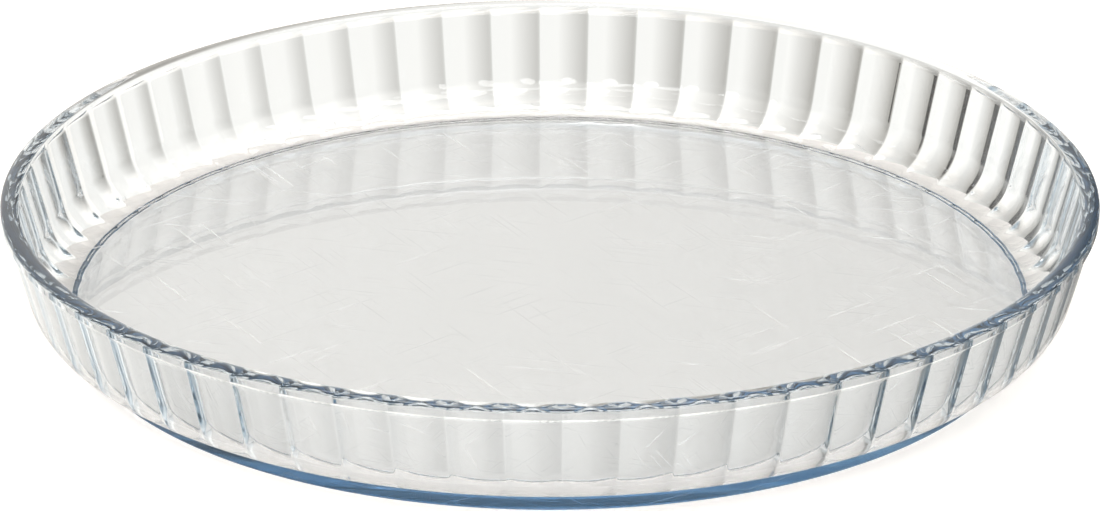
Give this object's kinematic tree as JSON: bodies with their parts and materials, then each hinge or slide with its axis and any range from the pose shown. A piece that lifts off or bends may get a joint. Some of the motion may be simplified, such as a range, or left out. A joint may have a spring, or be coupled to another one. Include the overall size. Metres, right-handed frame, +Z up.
{
  "type": "fluted glass flan dish",
  "caption": "Round, shallow, open flan dish of clear pressed glass with a flat floor, a leaning fluted wall and a rounded rim, for baking and serving tarts, quiches and cakes.",
  "frame": {"origin": "centre of the flat underside, on the dish's axis", "axes": "+Z up out of the open dish, -Y towards the viewer of the picture, +X to the viewer's right"},
  "size_m": [0.28, 0.28, 0.034],
  "materials": {
    "clear_pressed_glass": "fire-polished clear glass with a faint blue tint on long paths and fine use scratches on the floor"
  },
  "bodies": {
    "root": {"fluted_dish": "clear_pressed_glass"}
  },
  "joints": []
}
